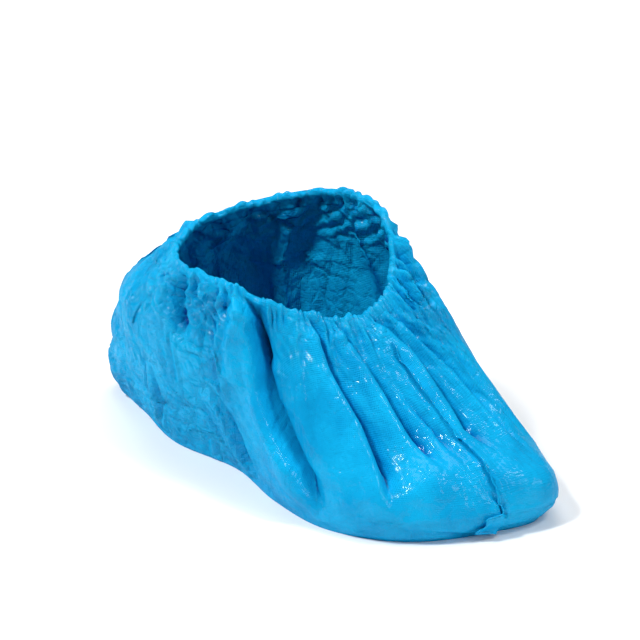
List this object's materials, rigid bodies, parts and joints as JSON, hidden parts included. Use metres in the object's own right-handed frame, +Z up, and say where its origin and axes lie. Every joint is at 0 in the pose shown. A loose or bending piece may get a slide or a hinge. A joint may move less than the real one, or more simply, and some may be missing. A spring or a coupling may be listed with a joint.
{
  "type": "shoe cover",
  "caption": "Disposable blue film overshoe with a gathered elastic ankle opening, in the loose folded shape it takes when worn.",
  "frame": {"origin": "on the inside of the flat sole, straight below the middle of the ankle opening, where the foot stands in the cover", "axes": "+X towards the toes along the foot, +Y towards the inner side of a right foot, +Z up"},
  "size_m": [0.2824, 0.1245, 0.1284],
  "materials": {
    "film": "embossed thin film, soft sheen",
    "hem_film": "gathered double film, soft sheen",
    "seam_film": "welded double film, smooth",
    "elastic": "matt"
  },
  "bodies": {
    "root": {"cover_film": "film", "rim_hem": "hem_film", "elastic_band": "elastic", "heel_seam": "seam_film", "toe_seam": "seam_film"}
  },
  "joints": []
}
